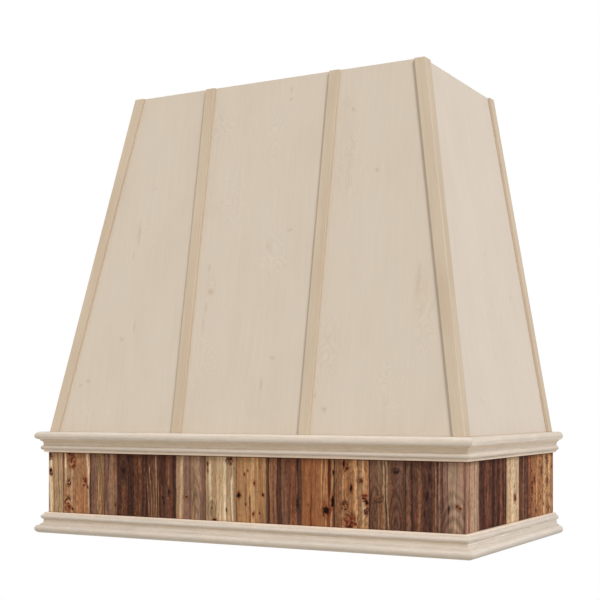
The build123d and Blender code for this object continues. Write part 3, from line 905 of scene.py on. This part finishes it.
def paintFrame():
    # for each board: the corner its grain starts from, the grain's direction and the one across
    plywood = {
        "apron_front": ((0, 0, 0), toRight, toTop),
        "apron_left": ((0, 0, 0), toFront, toTop),
        "apron_right": ((1, 0, 0), toBack, toTop),
        "insert_deck": ((0, 1, 1), toRight, toFront),
    }
    crosswise = ["hanging_rail", "top_rail_front", "lower_back_rail", "hood_cleat", "wall_cleat"]
    poplar = dict.fromkeys(crosswise, ((0, 0, 0), toRight, toTop))
    poplar.update({
        "sill_front": ((0, 0, 0), toRight, toBack),
        "sill_left": ((0, 0, 0), toBack, toRight),
        "sill_right": ((0, 0, 0), toBack, toRight),
        "left_corner_post": ((0, 0, 0), leftCorner, toRight),
        "right_corner_post": ((0, 0, 0), rightCorner, toRight),
    })
    seed = firstSeed["frame"]
    for look, boards in ((plywoodLook, plywood), (poplarLook, poplar)):
        for name, (ends, along, across) in boards.items():
            dress(name, makeWood(name, dict(look, seed=seed), (corner(name, *ends), along, across)))
            seed += 1


paintFrame()
print("foot, frame and cleats painted")

# The cleat's screws are steel; patches and grit are sizes in metres.
screwFinish = {
    "bright": tone(196, 196, 190), "dull": tone(146, 144, 138), "roughness": (0.28, 0.44),
    "patches": (1 / 700, 1 / 700), "grit": (1 / 4000, 1 / 4000), "relief": 0.03,
}


def paintScrews():
    material, shader = newMaterial("screwSteel")
    place = newNode("TexCoord").outputs["Object"]
    patches = noise(place, screwFinish["patches"], 4, 0.6)
    worn = ease(patches, 0.4, 0.6)
    feed(shader.inputs["Base Color"], mixIn(worn, screwFinish["bright"], screwFinish["dull"]))
    feed(shader.inputs["Roughness"], spread(patches, *screwFinish["roughness"]))
    shader.inputs["Metallic"].default_value = 1.0
    setBump(shader, noise(place, screwFinish["grit"]), screwFinish["relief"])
    dress("hood_cleat_screws", material)


paintScrews()
print("screws painted")

# Sawn pieces get softened edges, this many millimetres wide by the first word found in their name.
arrises = {"panel": 0.4, "strap": 0.9, "plank": 0.45, "apron": 0.5, "insert": 0.5, "rail": 1,
           "post": 1, "sill": 1, "cleat": 0.8}
softening = {"weld": 0.01 * mm, "flatAngle": 0.5, "arrisAngle": 30, "weight": 100}


def softenEdges():
    for name, piece in nodes.items():
        found = [width for word, width in arrises.items() if word in name]
        if not found or "screws" in name or "moulding" in name:
            continue
        piece.modifiers.new("joined", "WELD").merge_threshold = softening["weld"]
        flat = piece.modifiers.new("flat", "DECIMATE")
        flat.decimate_type = "DISSOLVE"
        flat.angle_limit = math.radians(softening["flatAngle"])
        addArris(piece, found[0], softening["arrisAngle"])
        piece.modifiers.new("even", "WEIGHTED_NORMAL").weight = softening["weight"]


softenEdges()
print("edges softened")

# Last come the camera, the light and the floor.

photoCamera = {"place": (1.4167, -2.8413, -0.6156), "turn": 0.5067, "sensor": 36, "lens": 72.92,
               "shiftUp": 0.17624}
studio = {
    "worldForLight": (0.645, 0.55), "worldTone": (1, 0.95, 0.89, 1),
    "sunStrength": 2.06, "sunTone": (0.98, 1, 1.03), "sunAngle": 16, "sunFrom": (0.59, -0.44, 0.68),
    "floorLevel": -4.6, "floorSize": 60, "floorTone": tone(208, 206, 202), "floorRoughness": 0.7,
    "whiteFrom": 3, "whiteBy": 6,
}


def placeCamera():
    bpy.ops.object.camera_add(location=photoCamera["place"],
                              rotation=(math.radians(90), 0, photoCamera["turn"]))
    camera = bpy.context.object
    camera.name = "photoCamera"
    camera.data.sensor_width = photoCamera["sensor"]
    camera.data.lens = photoCamera["lens"]
    camera.data.shift_y = photoCamera["shiftUp"]
    bpy.context.scene.camera = camera


def seenRay():
    # rays that show the backdrop: straight from the camera, or in gloss or glass
    rays = newNode("LightPath").outputs
    mirrored = calc("MAXIMUM", rays["Is Glossy Ray"], rays["Is Transmission Ray"])
    return calc("MAXIMUM", rays["Is Camera Ray"], mirrored)


def placeLights():
    world = bpy.data.worlds.new("studio")
    bpy.context.scene.world = world
    # for light the world is warm and a little stronger on the left; to the eye it is white
    background = startTree(world)["Background"]
    seen = seenRay()
    rightward = part(newNode("TexCoord").outputs["Generated"], 0)
    soft = ease(rightward, -1, 1, *studio["worldForLight"])
    strength = newNode("Mix", data_type="FLOAT")
    for index, value in ((0, seen), (2, soft), (3, 1)):
        feed(strength.inputs[index], value)
    feed(background.inputs["Color"], mixIn(seen, studio["worldTone"], (1, 1, 1, 1)))
    feed(background.inputs["Strength"], strength.outputs[0])
    bpy.ops.object.light_add(type="SUN", location=(2, -2, 2))
    sun = bpy.context.object
    sun.name = "softKey"
    sun.data.energy = studio["sunStrength"]
    sun.data.color = studio["sunTone"]
    sun.data.angle = math.radians(studio["sunAngle"])
    sun.rotation_euler = Vector(studio["sunFrom"]).to_track_quat("Z", "Y").to_euler()


def layFloor():
    bpy.ops.object.select_all(action="DESELECT")
    bpy.ops.mesh.primitive_plane_add(size=studio["floorSize"], location=(0, 0, studio["floorLevel"]))
    floor = bpy.context.object
    floor.name = "floor"
    bpy.ops.object.transform_apply(location=True, rotation=False, scale=False)
    material, shader = newMaterial("paleFloor")
    shader.inputs["Base Color"].default_value = studio["floorTone"]
    shader.inputs["Roughness"].default_value = studio["floorRoughness"]
    # far from the middle the floor fades to the white of the backdrop
    white = newNode("Emission").outputs[0]
    place = newNode("TexCoord").outputs["Object"]
    radius = vecCalc("LENGTH", vecCalc("MULTIPLY", place, (1, 1, 0)))
    far = ease(radius, studio["whiteFrom"], studio["whiteBy"])
    blend = fedNode("MixShader", (times(far, seenRay()), shader.outputs[0], white))
    feed(tree.nodes["Material Output"].inputs[0], blend)
    floor.data.materials.append(material)


placeCamera()
placeLights()
layFloor()
bpy.context.scene.view_settings.view_transform = "Standard"
print("camera, light and floor placed")
